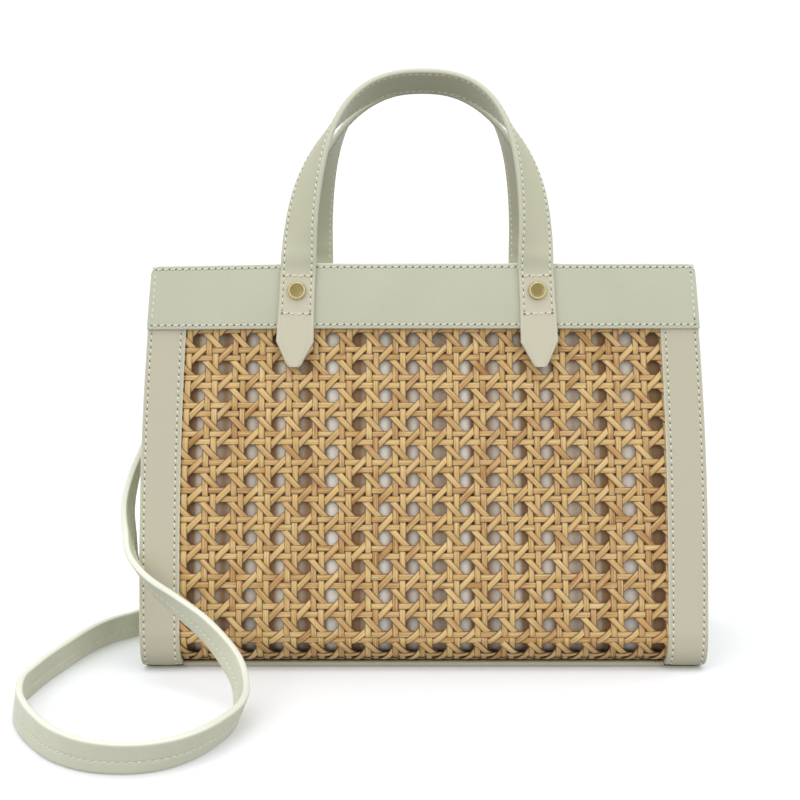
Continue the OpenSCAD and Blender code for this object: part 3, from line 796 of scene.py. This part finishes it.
def weave_strands(cane, wall, kind, rng):
    """The strands of a panel's uprights and levels, or slants, as points, faces, runs, sides and tones."""
    p, q, t = cane.mesh_x, cane.mesh_y, cane.thick
    # Strands run on a little under the trims, the band and the base
    reach_x = cane.columns * p / 2 + 0.0035
    low, high = wall.foot * 0.985, wall.window + 0.005
    # The weave's middle lies behind the face of the wall
    middle = -0.0009
    first = wall.window - cane.mesh_top
    # Places along a strand for each step of the mesh, and how far a strand strays
    fine, stray, slant_stray = 10, 0.00012, 0.0001

    def lay(x, v, n, way, width):
        # The webbing bunches a little where it is drawn under the body
        most, where, wide = 0.0026, -0.0098, 0.006
        v = v + most * np.exp(-(((v - where) / wide) ** 2))
        angle = np.arctan2(np.gradient(v), np.gradient(x)) if way is None else np.full(len(x), way)
        across = -np.sin(angle)[:, None] * np.array([1.0, 0, 0]) + np.cos(angle)[:, None] * wall.up(v)
        width = width * rng.uniform(0.94, 1.05)
        return strand(wall.at(x + cane.shift, v, middle + n), across, wall.out(v), width, t) + (rng.random(),)

    def over_under(d, half, step):
        inner = np.sin(np.clip(d / half, -1, 1) * math.pi / 2)
        fade = np.cos(np.clip((np.abs(d) - half) / (step / 2 - half), 0, 1) * math.pi / 2) ** 1.3
        return inner * fade

    def wander(count, amount):
        turns = rng.uniform(0, 2 * math.pi, 2)
        s = np.linspace(0, 1, count)
        drift = np.sin(5 * s + turns[0]) + 0.6 * np.sin(13 * s + turns[1])
        return amount * drift + rng.normal(0, 0.5 * amount)

    strands = []
    if kind == "straight":
        v = np.arange(low, high, q / fine)
        gap = (v - first) / q - 0.5
        d = (gap - np.round(gap)) * q
        for i in range(cane.columns + 1):
            for side in (-1, 1):
                x = (i - cane.columns / 2) * p + side * cane.pair_x / 2
                n = -side * 0.5 * t * over_under(d, cane.pair_y / 2, q)
                strands.append(lay(x + wander(len(v), stray), v, n, math.pi / 2, cane.strand))
        x = np.arange(-reach_x, reach_x, p / fine)
        gap = x / p - (cane.columns % 2) / 2
        d = (gap - np.round(gap)) * p
        for j in range(-1, cane.rows + 1):
            for side in (-1, 1):
                level = first - (j + 0.5) * q + side * cane.pair_y / 2
                if low < level < high:
                    n = side * 0.5 * t * over_under(d, cane.pair_x / 2, p)
                    strands.append(lay(x, level + wander(len(x), stray), n, 0.0, cane.strand))
        return strands
    for way in (1, -1):
        steps = int((2 * reach_x / p) + (high - low) / q) + 4
        for k in range(-steps, steps):
            # Slants run through the points half way between neighbouring holes
            start = (k + (cane.columns % 2) / 2) * p
            x = np.arange(-reach_x, reach_x, p / fine)
            v = first + way * (x - start) / p * q
            keep = (v > low) & (v < high)
            if keep.sum() < 6:
                continue
            x, v = x[keep], v[keep]
            swing = np.cos(2 * math.pi * (x / p - (1 + cane.columns % 2) / 2)) * way
            n = 0.98 * t * np.sign(swing) * np.abs(swing) ** 0.55
            strands.append(lay(x + wander(len(x), slant_stray), v, n, None, cane.slant))
    return strands


class TOTE_OT_cane(bpy.types.Operator):
    """Weave the front and back panels strand by strand"""

    bl_idname = "tote.cane"
    bl_label = "Cane panels"

    def execute(self, context):
        settings = context.scene.tote
        body, cane = settings.body, settings.cane
        wall = Wall(body)
        for seed, name, turn in ((3, "cane_front", np.array), (7, "cane_back", backed)):
            for kind in ("straight", "slant"):
                rng = np.random.default_rng(seed)
                strands = weave_strands(cane, wall, kind, rng)
                points, faces = joined([(s[0], s[1]) for s in strands])
                offset = [rng.uniform(0, 3) for s in strands]
                piece(
                    f"{name}_{kind}_strands", settle(turn(points), body), faces, "cane", split_cane(cane),
                    [name],
                    uv=np.concatenate([s[2] + (o, 0.01 * i) for i, (s, o) in enumerate(zip(strands, offset))]),
                    side=np.concatenate([s[3] for s in strands]),
                    tone=np.concatenate([np.full(len(s[0]), s[4]) for s in strands]),
                )
        return {"FINISHED"}


class TOTE_OT_trims(bpy.types.Operator):
    """Lay the trim strips down the side edges of the front and back and sew them"""

    bl_idname = "tote.trims"
    bl_label = "Trims"

    def execute(self, context):
        settings = context.scene.tote
        body, sewing = settings.body, settings.sewing
        wall = Wall(body)
        t, w = body.leather, body.trim
        rows = (-w / 2 + sewing.inset, w / 2 - sewing.inset)
        section, marks = strip_section(w, t, rows, sewing.dip, 0.00025)
        v = np.concatenate([np.linspace(wall.foot, 0, 26), np.linspace(0, wall.long - 0.0006, 80)[1:]])

        def proud(v):
            # The strip is folded nearly square over the base, so its foot stands proud of the turn
            bent = np.clip(-wall.angle(v), 0, math.pi / 2)
            return (body.bend + t) * ((np.cos(bent) ** 3 + np.sin(bent) ** 3) ** (-1 / 3) - 1)

        sections = np.repeat(section[None], len(v), 0)
        sections[..., 1] += proud(v)[:, None] * (sections[..., 1] > 0)
        for face, turn in SIDES:
            lines = []
            for name, side in (("left", -1), ("right", 1)):
                middle = side * (body.width - w) / 2
                points, faces = sweep(wall.at(middle, v, t / 2), (1, 0, 0), wall.out(v), sections)
                piece(
                    f"trim_{face}_{name}_leather", settle(turn(points), body), faces, "leather",
                    leather_of(settings), [f"trim_{face}_{name}"],
                    edge=np.outer(np.where(v < 0, 0.2, 1.0), marks).ravel(), warm=np.full(len(points), 0.9),
                )
                sewn = v[(v > -0.016) & (v < wall.window - 0.0005)]
                for row in rows:
                    line = wall.at(middle + row, sewn, t - sewing.dip + THREAD_LIFT + proud(sewn))
                    lines.append((turn(line), turn(wall.out(sewn))))
            sew(f"trim_{face}_stitches", lines, "leather", sewing, waxed_thread(sewing), body)
        return {"FINISHED"}


class TOTE_OT_bands(bpy.types.Operator):
    """Lay the top bands over the trims, front and back, and sew them round"""

    bl_idname = "tote.bands"
    bl_label = "Top bands"

    def execute(self, context):
        settings = context.scene.tote
        body, sewing = settings.body, settings.sewing
        wall = Wall(body)
        h, t, r, half = body.band_height, body.band_thick, body.band_corner, body.width / 2
        inset = sewing.inset - 0.0003
        rows = (-h / 2 + inset, h / 2 - inset)
        section, marks = strip_section(h, t, rows, sewing.dip, 0.0002)
        corner = half - r * (1 - np.cos(np.radians(np.linspace(0, 90, 9))))
        x = np.concatenate([-corner, np.linspace(-half + r, half - r, 111)[1:-1], corner[::-1]])
        # Near its ends the strip's upper edge follows the round corner
        past = np.clip((np.abs(x) - (half - r)) / r, 0, 1)
        upper = h - r * (1 - np.sqrt(np.clip(1 - past**2, 0, 1)))

        def wave(x):
            # Hand-cut leather is never quite level or flat
            return 0.00022 * (np.sin(x / 0.021 + 0.6) + 0.7 * np.sin(x / 0.0087 + 2.0))

        n = body.leather + t / 2
        sections = np.repeat(section[None], len(x), 0)
        sections[..., 0] = (sections[..., 0] + h / 2) * (upper / h)[:, None]
        sections[..., 1] += wave(x)[:, None]
        # Between the trims an inner strip fills the space behind the band
        short = 0.0012
        inner_h = h - short
        inner, inner_marks = strip_section(inner_h, body.leather + 0.0004)
        inner_x = np.linspace(-half + body.trim, half - body.trim, 24)
        edge = np.concatenate([np.tile(marks, len(x)), np.tile(inner_marks, len(inner_x))])
        for face, turn in SIDES:
            up, out = wall.flat_up, wall.flat_out
            outer = sweep(wall.at(x, wall.window, n), up, out, sections)
            behind = wall.at(inner_x, wall.window + short + inner_h / 2, body.leather / 2)
            points, faces = joined([outer, sweep(behind, up, out, inner)])
            piece(
                f"band_{face}_leather", settle(turn(points), body), faces, "leather", leather_of(settings),
                [f"band_{face}"], edge=edge,
            )
            high = n + t / 2 - sewing.dip + THREAD_LIFT
            wide = half - 0.0022
            level = np.linspace(-wide, wide, 240)
            upright = np.linspace(0.0045, h - 0.0045, 20)
            lines = [wall.at(level, wall.window + h / 2 + row, high + wave(level)) for row in rows]
            lines += [wall.at(side * wide, wall.window + upright, high + 0.0001) for side in (-1, 1)]
            sew(
                f"band_{face}_stitches", [(turn(line), turn(out[None])) for line in lines], "leather", sewing,
                waxed_thread(sewing), body,
            )
        return {"FINISHED"}


class TOTE_OT_facings(bpy.types.Operator):
    """Line the top edge inside with the facings"""

    bl_idname = "tote.facings"
    bl_label = "Facings"

    def execute(self, context):
        settings = context.scene.tote
        body, sewing = settings.body, settings.sewing
        wall = Wall(body)
        h, t = body.band_height - 0.0004, body.facing
        row = -h / 2 + sewing.inset
        section, marks = strip_section(h, t, (row,), sewing.dip)
        half = body.width / 2 - body.leather - 0.0003
        x = np.linspace(-half, half, 70)
        n = -body.wall - t / 2
        for face, turn in SIDES:
            # The sewn face looks into the bag
            points, faces = sweep(wall.at(x, wall.window + h / 2, n), wall.flat_up, -wall.flat_out, section)
            piece(
                f"facing_{face}_leather", settle(turn(points), body), faces, "facing_leather",
                leather_of(settings, "facing"), [f"facing_{face}"], edge=np.tile(marks, len(x)) * 0.5,
            )
            level = np.linspace(-half + 0.003, half - 0.003, 200)
            line = wall.at(level, wall.window + h / 2 + row, n - t / 2 + sewing.dip)
            sew(
                f"facing_{face}_stitches", [(turn(line), turn(-wall.flat_out[None]))], "facing_leather", sewing,
                waxed_thread(sewing), body,
            )
        return {"FINISHED"}


class TOTE_OT_gussets(bpy.types.Operator):
    """Shape the soft side panels and sew them along their edges"""

    bl_idname = "tote.gussets"
    bl_label = "Gussets"

    def execute(self, context):
        settings = context.scene.tote
        body, sewing = settings.body, settings.sewing
        wall = Wall(body)
        t = body.leather
        # Half the depth of the panel at each height, round the turn and up the lean
        v = np.concatenate([np.linspace(wall.foot, 0, 22), np.linspace(0, wall.long, 70)[1:]])
        rim = wall.at(0, v, -0.0001)
        wide = -rim[:, 1]
        section, marks = strip_section(2 * wide.max(), t)
        sections = np.repeat(section[None], len(v), 0)
        share = sections[..., 0] / wide.max()
        sections[..., 0] = share * wide[:, None]
        high = rim[:, 2]
        sections[..., 1] -= sagged(body, body.sag, high[:, None], share)
        row = 1 - 1.3 * sewing.inset / wide
        sunk = sagged(body, body.sag, high, row)
        sewn = v > -0.01
        lines = []
        for name, side in (("left", -1), ("right", 1)):
            path = np.stack([0 * v + side * (body.width / 2 - t / 2), 0 * v, high], 1)
            points, faces = sweep(path, (0, 1, 0), (side, 0, 0), sections)
            piece(
                f"gusset_{name}_leather", settle(points, body), faces, "leather", leather_of(settings),
                [f"gusset_{name}"], edge=np.tile(marks, len(v)),
            )
            for edge in (-1, 1):
                line = np.stack([side * (body.width / 2 - sunk + 0.0001), edge * row * wide, high], 1)
                lines.append((line[sewn], np.array([[side, 0.0, 0.0]])))
        sew("gusset_stitches", lines, "leather", sewing, waxed_thread(sewing), body)
        return {"FINISHED"}


class TOTE_OT_base(bpy.types.Operator):
    """Lay the leather base panel and finish the board inside it"""

    bl_idname = "tote.base"
    bl_label = "Base"

    def execute(self, context):
        settings = context.scene.tote
        body = settings.body
        wall = Wall(body)
        t = body.base_thick
        window, half = body.width / 2 - body.trim - 0.0001, body.width / 2
        wide, narrow = wall.turn_y + body.base_lip, wall.turn_y - 0.0003
        x = np.concatenate([
            np.linspace(-half, -window - 0.0005, 8), np.linspace(-window, window, 60),
            np.linspace(window + 0.0005, half, 8),
        ])
        depth = np.where(np.abs(x) <= window, wide, narrow)
        section, _ = strip_section(2 * wide, t)
        sections = np.repeat(section[None], len(x), 0)
        sections[..., 0] *= (depth / wide)[:, None]
        parts = [sweep(np.stack([x, 0 * x, 0 * x + t / 2], 1), (0, 1, 0), (0, 0, -1), sections)]
        # Under the trims the panel is skived thin and its corners are round
        skived, corner, end = 0.0008, 0.004, half - 0.001
        eased = end - corner * (1 - np.sin(np.radians(np.linspace(0, 88, 9))))
        x = np.concatenate([np.linspace(window - 0.001, half - 0.005, 5), eased])
        past = np.clip((x - (end - corner)) / corner, 0, 1)
        reach = wide + 0.001 - corner * (1 - np.sqrt(1 - past**2))
        section, _ = strip_section(wide - narrow, skived)
        share = section[:, 0] / (wide - narrow) + 0.5
        sections = np.repeat(section[None], len(x), 0)
        sections[..., 0] = narrow - 0.002 + share * (reach - narrow + 0.002)[:, None]
        for side in (-1, 1):
            path = np.stack([side * x, 0 * x, 0 * x + skived / 2], 1)
            for face in (-1, 1):
                parts.append(sweep(path, (0, face, 0), (0, 0, -side * face), sections))
        points, faces = joined(parts)
        piece("base_panel_leather", points, faces, "leather", leather_of(settings, "base"), ["base_panel"])
        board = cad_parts["base_board"]
        board.data.materials.clear()
        board.data.materials.append(pressed_board(settings.finish))
        return {"FINISHED"}


class TOTE_OT_lining(bpy.types.Operator):
    """Loft the striped lining as one soft sack"""

    bl_idname = "tote.lining"
    bl_label = "Lining"

    def execute(self, context):
        settings = context.scene.tote
        body = settings.body
        wall = Wall(body)
        thick = 0.0006
        n = -(body.wall + body.facing + thick)
        # The cloth is tucked up behind the facing
        top = wall.window + 0.0036
        v = np.concatenate([np.linspace(top, 0, 46), np.linspace(0, wall.foot, 14)[1:]])
        rim = wall.at(0, v, n)
        half = body.width / 2 - body.leather - 0.0016
        corner = 0.006
        turn = np.radians(np.linspace(0, 90, 7))
        # One closed loop in plan: front, right, back and left, with soft corners
        loops, runs = [], None
        for y in -rim[:, 1]:
            front = np.linspace(-half + corner, half - corner, 80)
            flank = np.linspace(-y + corner, y - corner, 24)
            loop = np.concatenate([
                np.stack([front, 0 * front - y], 1),
                np.stack([half - corner + corner * np.sin(turn), -y + corner - corner * np.cos(turn)], 1)[1:-1],
                np.stack([0 * flank + half, flank], 1),
                np.stack([half - corner + corner * np.cos(turn), y - corner + corner * np.sin(turn)], 1)[1:-1],
            ])
            loop = np.concatenate([loop, -loop])
            if runs is None:
                runs = lengths(loop) + loop[0, 0]
            loops.append(loop)
        loops = np.array(loops)
        high = np.repeat(rim[:, 2][:, None], loops.shape[1], 1)
        # The cloth hangs away from the cane here and there, and follows the sag of the gussets
        fold = np.sin(loops[..., 0] / 0.017 + 1.3 * np.sin(high / 0.03))
        slack = 0.5 + 0.5 * fold * np.sin(high / 0.041 + 0.5)
        loops[..., 1] -= np.sign(loops[..., 1]) * 0.0007 * slack * (np.abs(loops[..., 0]) < half - 0.004)
        # Below the facing it comes forward to lie close behind the cane
        close = (smooth(v, 0.0, 0.02) * smooth(top - v, 0.006, 0.022))[:, None]
        close = close * smooth(half - np.abs(loops[..., 0]), 0.012, 0.03)
        loops[..., 1] += np.sign(loops[..., 1]) * 0.0011 * close
        across = np.clip(np.abs(loops[..., 1]) / np.abs(loops[..., 1]).max(1, keepdims=True), 0, 1)
        flank = smooth(np.abs(loops[..., 0]), half - 0.02, half)
        pinch = sagged(body, body.sag + 0.0002, high, across)
        loops[..., 0] -= np.sign(loops[..., 0]) * flank * pinch
        points = np.concatenate([loops, high[..., None]], -1)
        floor = [points[-1] * (s, s, 1) for s in (0.8, 0.55, 0.3, 0.1)]
        points = np.concatenate([points, np.array(floor)])
        runs = np.repeat(runs[None], len(points), 0)
        rings, faces = tube(*points.shape[:2])
        faces = faces.tolist() + [rings[-1].tolist()]
        uv = np.stack([runs, points[..., 2]], -1).reshape(-1, 2)
        sack = piece(
            "lining_cloth", settle(points.reshape(-1, 3), body), faces, "lining",
            striped_cotton(settings.finish), ["lining"], uv=uv,
        )
        cloth = sack.modifiers.new("Cloth thickness", "SOLIDIFY")
        cloth.thickness = thick
        cloth.offset = -1.0
        # Cut as one strip for front, floor and back, 0.262 by 0.42 m, with two sides of 0.155 by 0.09 m let in
        return {"FINISHED"}


def tab_places(straps):
    """Where the studs sit across the front and across the back."""
    half, shift, pinch = straps.span / 2, straps.shift, straps.pinch
    return (shift - half, shift + half), (pinch - half, half - pinch)


def handle_frames(straps, body, legs, late):
    """The front handle's middle line from tab to tab, its direction across, its outward face and its width.

    The higher late is, the later the strap turns edge-on on its way up. Gives also how far up the rise each
    place lies and on which side.
    """
    wall = Wall(body)
    n = body.leather + body.band_thick + 0.0001 + straps.thick / 2
    # Places are closer at the blunt end and at the shoulders of the tab
    from_tip = np.concatenate([
        [0, 0.0003, 0.001, 0.002, 0.004], np.linspace(0.006, straps.tip, 6),
        straps.tip + np.array([0.0006, 0.0015, 0.003]),
    ])
    from_tip = np.concatenate([from_tip, np.linspace(from_tip[-1] + 0.002, straps.tab - 0.0008, 24)])
    tab = wall.long - straps.tab + from_tip
    foot = wall.at(0, wall.long, n)
    tilt, splay = straps.tilt, math.tan(straps.splay)
    top_y = -straps.width / 2 * math.cos(tilt) - straps.space / 2 - straps.thick / 2 * math.sin(tilt)
    bow = top_y - foot[1] - straps.rise * math.tan(wall.lean)
    # The arch is squarer than an ellipse, whose power would be 2
    power = 2 / 2.42
    # Steps along the arch are closer where it starts, because the power curve is steep there
    angle = np.radians(90) * np.linspace(0, 1, 64) ** 1.5
    up = np.sin(angle) ** power
    inward = np.maximum(np.cos(angle), 0) ** power
    reach = (legs[1] - legs[0]) / 2 - straps.stud_drop * splay
    lines = []
    for leg, side in zip(legs, (-1, 1)):
        lower = wall.at(leg + side * (wall.long - straps.stud_drop - tab) * splay, tab, n)
        arch = np.stack(
            [
                side * reach * inward + sum(legs) / 2 * (1 - up),
                foot[1] + straps.rise * up * math.tan(wall.lean) + bow * up**2,
                foot[2] + straps.rise * up,
            ],
            1,
        )
        lines.append(np.concatenate([lower, arch]))
    half_share = np.concatenate([(tab - wall.long) / straps.rise, up])
    line = np.concatenate([lines[0], lines[1][-2::-1]])
    share = np.concatenate([half_share, half_share[-2::-1]])
    side = np.concatenate([-np.ones(len(half_share)), np.ones(len(half_share) - 1)])
    run = unit(np.gradient(line, axis=0))
    # The strap has turned by 16 degrees where it leaves the band and is edge-on just below the top
    turn = np.minimum(16 + 74 * (np.maximum(share, 0) / 0.95) ** late, 90)
    turn = np.radians(turn) * smooth(share, -0.065, 0.2)
    across = np.stack([side * np.cos(turn), np.sin(turn) * math.cos(tilt), -np.sin(turn) * math.sin(tilt)], 1)
    across = unit(across - (across * run).sum(1, keepdims=True) * run)
    out = np.cross(run, across)
    # Below the top edge the strap turns about its outer edge, which stays on the band
    lift = straps.width / 2 * np.sin(turn) * (1 - smooth(share, 0.0, 0.09))
    line = line + wall.flat_out * lift[:, None]
    wide = np.interp(
        np.concatenate([from_tip, [straps.tab] * len(angle)]),
        [0, straps.tip, straps.tab - straps.stud_drop - 0.006],
        [straps.tip_width, straps.tab_width, straps.width],
    )
    # The blunt end's corners are eased
    wide = wide * np.concatenate([[0.8, 0.92, 0.98], np.ones(len(wide) - 3)])
    wide = np.concatenate([wide, wide[-2::-1]])
    return line, across, out, wide, share, side


class TOTE_OT_handles(bpy.types.Operator):
    """Shape both handles, with their tabs, painted edges and stitch rows"""

    bl_idname = "tote.handles"
    bl_label = "Handles"

    def execute(self, context):
        settings = context.scene.tote
        body, straps, sewing = settings.body, settings.straps, settings.sewing
        w, t = straps.width, straps.thick
        inset = 0.0019
        # How far below the top edge the stitched box round a stud starts and ends
        box = (0.007, 0.0245)
        rows = (-w / 2 + inset, w / 2 - inset)
        section, marks = strip_section(w, t, rows, sewing.dip, 0.0002, both=True)
        # The front strap turns later on its way up than the back one
        for (face, turn), legs, late in zip(SIDES, tab_places(straps), (1.5, 1.15)):
            line, across, out, wide, share, side = handle_frames(straps, body, legs, late)
            sections = section[None] * np.stack([wide / w, np.ones_like(wide)], 1)[:, None]
            points, faces = sweep(line, across, out, sections)
            # The tab end is painted lighter and warmer than the legs: painted light where it lies flat
            piece(
                f"handle_{face}_leather", settle(turn(points), body), faces, "handle_leather",
                leather_of(settings, "handle"), [f"handle_{face}"], edge=np.tile(0.35 * marks, len(line)),
                warm=np.repeat(0.9 * (1 - smooth(share, -0.12, 0.0)), len(marks)),
            )
            outer = np.sign((out * (0, -1, 0)).sum(1)[20])
            held = share > -box[1] / straps.rise
            lines = []
            for row in rows:
                for way in (outer, -outer):
                    # Behind the tab nothing shows, so the hidden face is sewn only above the top edge
                    sewn = held if way == outer else share > 0.02
                    # Inside the arch the thread is drawn deeper into the leather
                    sunk = 0.00005 if way == outer else -0.0002
                    edge = line + across * row + out * (way * (t / 2 - sewing.dip + sunk))
                    lines.append((turn(edge[sewn]), turn((way * out)[sewn])))
            # The box is closed by two level rows
            for leg in (-1, 1):
                for drop in box:
                    near = int(np.argmin(np.abs(share + drop / straps.rise) + 10 * (side != leg)))
                    reach = np.linspace(rows[0], rows[1], 12)[:, None]
                    level = line[near] + across[near] * reach + out[near] * (outer * (t / 2 + THREAD_LIFT))
                    lines.append((turn(level), turn((outer * out[near])[None])))
            sew(f"handle_{face}_stitches", lines, "handle_leather", sewing, waxed_thread(sewing), body)
        return {"FINISHED"}


class TOTE_OT_studs(bpy.types.Operator):
    """Turn the brass studs and finish their caps"""

    bl_idname = "tote.studs"
    bl_label = "Studs"

    def execute(self, context):
        settings = context.scene.tote
        body, straps = settings.body, settings.straps
        wall = Wall(body)
        r, h = straps.stud / 2, straps.stud_height

        def stud(post):
            # A dished face, a raised bevelled rim and a straight side, in shares of radius and height
            profile = [
                (0.0004, 0.86), (0.45, 0.86), (0.66, 0.88), (0.70, 0.93), (0.76, 0.985), (0.82, 1.0),
                (0.88, 0.97), (0.96, 0.80), (1.0, 0.62), (1.0, 0.12), (0.97, 0.0),
            ]
            head = [(a * r, b * h) for a, b in profile]
            return lathe(head + [(straps.post / 2, 0.0), (straps.post / 2, -post), (0.0002, -post)], 48, 0.006)

        # The rim mark brightens the rims' colour: partly rubbed wear, partly a painted highlight
        def rim(points):
            return smooth(np.hypot(points[:, 0], points[:, 1]) / r, 0.74, 0.86) * (points[:, 2] > 0.3 * h)

        def set_in(shape, place, axis, level):
            side = np.cross(axis, level)
            points, faces = shape
            return place + points[:, :1] * level + points[:, 1:2] * side + points[:, 2:] * axis, faces

        n = body.leather + body.band_thick + straps.thick + 0.0002
        shape = stud(n + body.wall + body.facing + 0.001)
        axis = wall.flat_out
        parts = []
        for (_, turn), legs in zip(SIDES, tab_places(straps)):
            for leg in legs:
                place = wall.at(leg, wall.long - straps.stud_drop, n + 0.0001)
                points, faces = set_in(shape, turn(place), turn(axis), np.array([1.0, 0, 0]))
                parts.append((settle(points, body), faces))
        points, faces = joined(parts)
        piece(
            "handle_studs_brass", points, faces, "brass", aged_brass(settings.finish), ["handle_studs"],
            rim=np.tile(rim(shape[0]), 4),
        )
        shape = stud(straps.strap_thick + body.leather + 0.001)
        parts = []
        for side in (-1, 1):
            reach = body.width / 2 + 0.0001 + straps.strap_thick + 0.0002
            place = np.array([side * reach, 0, straps.strap_stud])
            parts.append(set_in(shape, place, np.array([side, 0.0, 0]), np.array([0, 1.0, 0])))
        points, faces = joined(parts)
        piece(
            "strap_studs_brass", points, faces, "brass", aged_brass(settings.finish), ["strap_studs"],
            rim=np.tile(rim(shape[0]), 2),
        )
        for name in ("handle_caps", "strap_caps"):
            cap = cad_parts[name]
            cap.data.materials.clear()
            cap.data.materials.append(aged_brass(settings.finish))
        return {"FINISHED"}


class TOTE_OT_stage(bpy.types.Operator):
    """Lay the studio floor and set soft lights"""

    bl_idname = "tote.stage"
    bl_label = "Stage"

    def execute(self, context):
        settings = context.scene.tote
        scene = context.scene
        count = 9
        ticks = np.linspace(-6, 6, count)
        points = np.array([(x, y, 0.0) for y in ticks for x in ticks])
        index = np.arange(count * count).reshape(count, count)
        corners = [index[:-1, :-1], index[:-1, 1:], index[1:, 1:], index[1:, :-1]]
        faces = np.stack(corners, -1).reshape(-1, 4).tolist()
        mesh = bpy.data.meshes.new("studio_floor")
        mesh.from_pydata(points.tolist(), [], faces)
        mesh.materials.append(paper_floor(settings.finish))
        floor = bpy.data.objects.new("studio_floor", mesh)
        scene.collection.objects.link(floor)
        # The paper throws no light back up on the bag
        floor.visible_diffuse = False
        world = bpy.data.worlds.new("Studio")
        world.use_nodes = True
        tree = world.node_tree
        # White walls and ceiling; what would come up from the floor is held back, as by a dark table skirt
        way = add(tree, "ShaderNodeTexCoord").outputs["Generated"]
        up = add(tree, "ShaderNodeSeparateXYZ", {"Vector": way})
        glow = add(
            tree, "ShaderNodeMapRange",
            {"Value": up.outputs["Z"], "From Min": -0.15, "From Max": -0.04, "To Min": 0.42, "To Max": 1.09},
        )
        tree.links.new(glow.outputs["Result"], tree.nodes["Background"].inputs["Strength"])
        tree.nodes["Background"].inputs["Color"].default_value = (1, 1, 1, 1)
        scene.world = world
        for name, place, aim, width, power in (
            ("Top softbox", (0.0, -0.3, 1.6), (0.0, 0.0, 0.0), 1.2, 5.0),
            ("Left softbox", (-1.1, -1.9, 1.2), (0.0, 0.0, 0.1), 1.2, 7.5),
            ("Right softbox", (1.4, -1.6, 1.0), (0.0, 0.0, 0.1), 1.2, 4.0),
        ):
            glow = bpy.data.lights.new(name, "AREA")
            glow.energy = power
            glow.shape = "SQUARE"
            glow.size = width
            lamp = bpy.data.objects.new(name, glow)
            scene.collection.objects.link(lamp)
            lamp.location = place
            away = np.array(place) - np.array(aim)
            flat = math.hypot(away[0], away[1])
            lamp.rotation_euler = (math.atan2(flat, away[2]), 0, math.atan2(away[0], -away[1]))
        scene.view_settings.view_transform = "Standard"
        return {"FINISHED"}


class TOTE_PT_panel(bpy.types.Panel):
    """The bag's pieces in the order they are made"""

    bl_label = "Cane tote bag"
    bl_space_type = "VIEW_3D"
    bl_region_type = "UI"
    bl_category = "Tote"

    def draw(self, context):
        for step in STEPS:
            self.layout.operator(step.bl_idname)


STEPS = (
    TOTE_OT_camera,
    TOTE_OT_shoulder_strap,
    TOTE_OT_cane,
    TOTE_OT_trims,
    TOTE_OT_bands,
    TOTE_OT_facings,
    TOTE_OT_gussets,
    TOTE_OT_base,
    TOTE_OT_lining,
    TOTE_OT_handles,
    TOTE_OT_studs,
    TOTE_OT_stage,
)
CLASSES = (ToteBody, ToteCane, ToteStraps, ToteSewing, ToteFinish, ToteSettings) + STEPS + (TOTE_PT_panel,)


def register():
    for made in CLASSES:
        bpy.utils.register_class(made)
    bpy.types.Scene.tote = PointerProperty(type=ToteSettings)


def unregister():
    del bpy.types.Scene.tote
    for made in reversed(CLASSES):
        bpy.utils.unregister_class(made)


def main():
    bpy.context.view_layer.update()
    register()
    bpy.ops.tote.camera()
    bpy.ops.tote.shoulder_strap()
    bpy.ops.tote.cane()
    bpy.ops.tote.trims()
    bpy.ops.tote.bands()
    bpy.ops.tote.facings()
    bpy.ops.tote.gussets()
    bpy.ops.tote.base()
    bpy.ops.tote.lining()
    bpy.ops.tote.handles()
    bpy.ops.tote.studs()
    bpy.ops.tote.stage()


if __name__ == "__main__":
    main()
